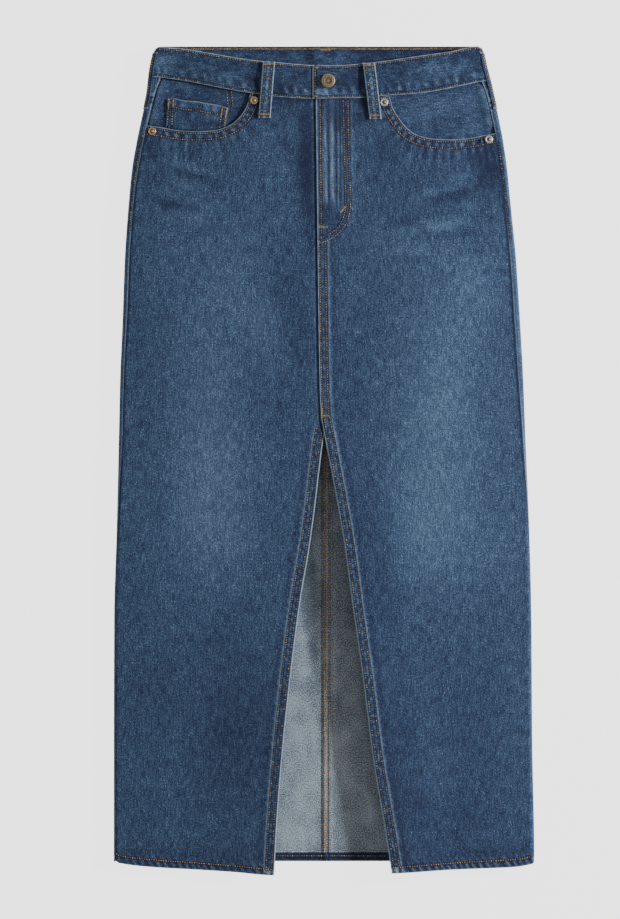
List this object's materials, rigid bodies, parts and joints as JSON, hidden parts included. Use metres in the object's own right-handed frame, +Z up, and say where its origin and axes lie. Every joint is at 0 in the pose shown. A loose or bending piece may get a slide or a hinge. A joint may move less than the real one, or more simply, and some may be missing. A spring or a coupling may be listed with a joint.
{
  "type": "denim skirt",
  "caption": "Long straight denim skirt with a front slit, waistband, fly, scoop pockets, belt loops and metal button, laid flat on its back.",
  "frame": {"origin": "centre of the bounding box on the surface that the skirt lies on", "axes": "+Z up, away from the surface; +Y along the skirt towards the waist; +X to the right of someone looking down at the front"},
  "size_m": [0.4936, 0.972, 0.0222],
  "materials": {
    "denim": "mid-blue washed cotton twill, matt, faded on the thighs and worn pale on its edges, grey-white on its inner side",
    "stitch_thread": "tan and orange polyester-cotton topstitching thread, low sheen",
    "antique_brass": "aged satin brass with darkened recesses",
    "rivet_copper": "worn satin copper with a silvery rim"
  },
  "bodies": {
    "root": {"waistband": "denim", "front_panel_left": "denim", "front_panel_right": "denim", "back_yoke_left": "denim", "back_yoke_right": "denim", "back_panel_left": "denim", "back_panel_right": "denim", "pocket_facing_left": "denim", "pocket_facing_right": "denim", "coin_pocket": "denim", "belt_loop_front_left": "denim", "belt_loop_front_right": "denim", "belt_loop_side_left": "denim", "belt_loop_side_right": "denim", "belt_loop_back": "denim", "waist_button": "antique_brass", "rivet_left_inner": "rivet_copper", "rivet_left_outer": "rivet_copper", "rivet_right_inner": "rivet_copper", "rivet_right_outer": "rivet_copper"}
  },
  "joints": []
}
